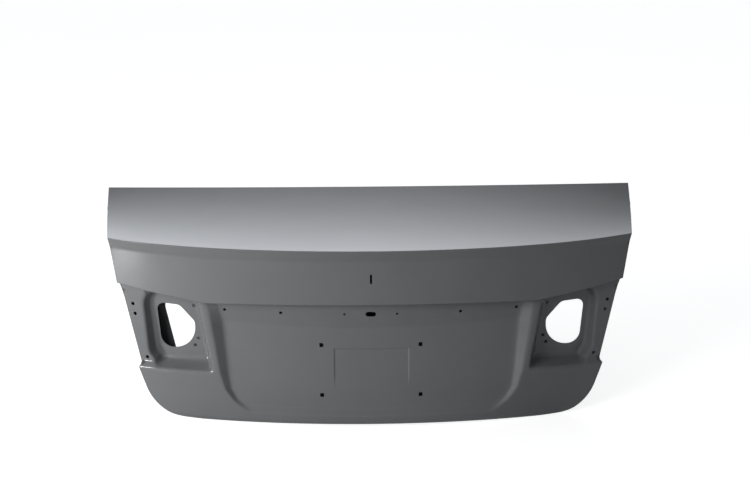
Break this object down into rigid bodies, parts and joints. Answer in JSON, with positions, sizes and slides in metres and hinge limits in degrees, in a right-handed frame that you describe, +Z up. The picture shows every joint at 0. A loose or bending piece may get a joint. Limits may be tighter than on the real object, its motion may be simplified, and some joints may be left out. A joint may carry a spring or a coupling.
{
  "type": "trunk lid",
  "caption": "Bare saloon trunk lid: steel outer skins with lip, plate recess and lamp pockets on a cut-out inner pressing.",
  "frame": {"origin": "middle of the lid's width and depth, level with its lowest edge", "axes": "+X to the right as seen from behind the car, +Y forwards, +Z up, as fitted with the lid shut"},
  "size_m": [1.41, 0.4801, 0.519],
  "materials": {
    "outer_skin": "grey electro-dipped primer, half-gloss",
    "inner_pressing": "grey electro-dipped primer, half-gloss",
    "reinforcement": "grey electro-dipped primer, half-gloss",
    "weld_nut": "grey electro-dipped primer over phosphated steel",
    "mastic": "cured expanding mastic, matt"
  },
  "bodies": {
    "root": {"outer_upper_panel": "outer_skin", "outer_lower_panel": "outer_skin", "inner_panel": "inner_pressing", "hinge_reinforcement_left": "reinforcement", "hinge_reinforcement_right": "reinforcement", "hinge_weld_nuts": "weld_nut", "lock_reinforcement": "reinforcement", "lock_weld_nuts": "weld_nut", "deck_mastic_pads": "mastic"}
  },
  "joints": []
}
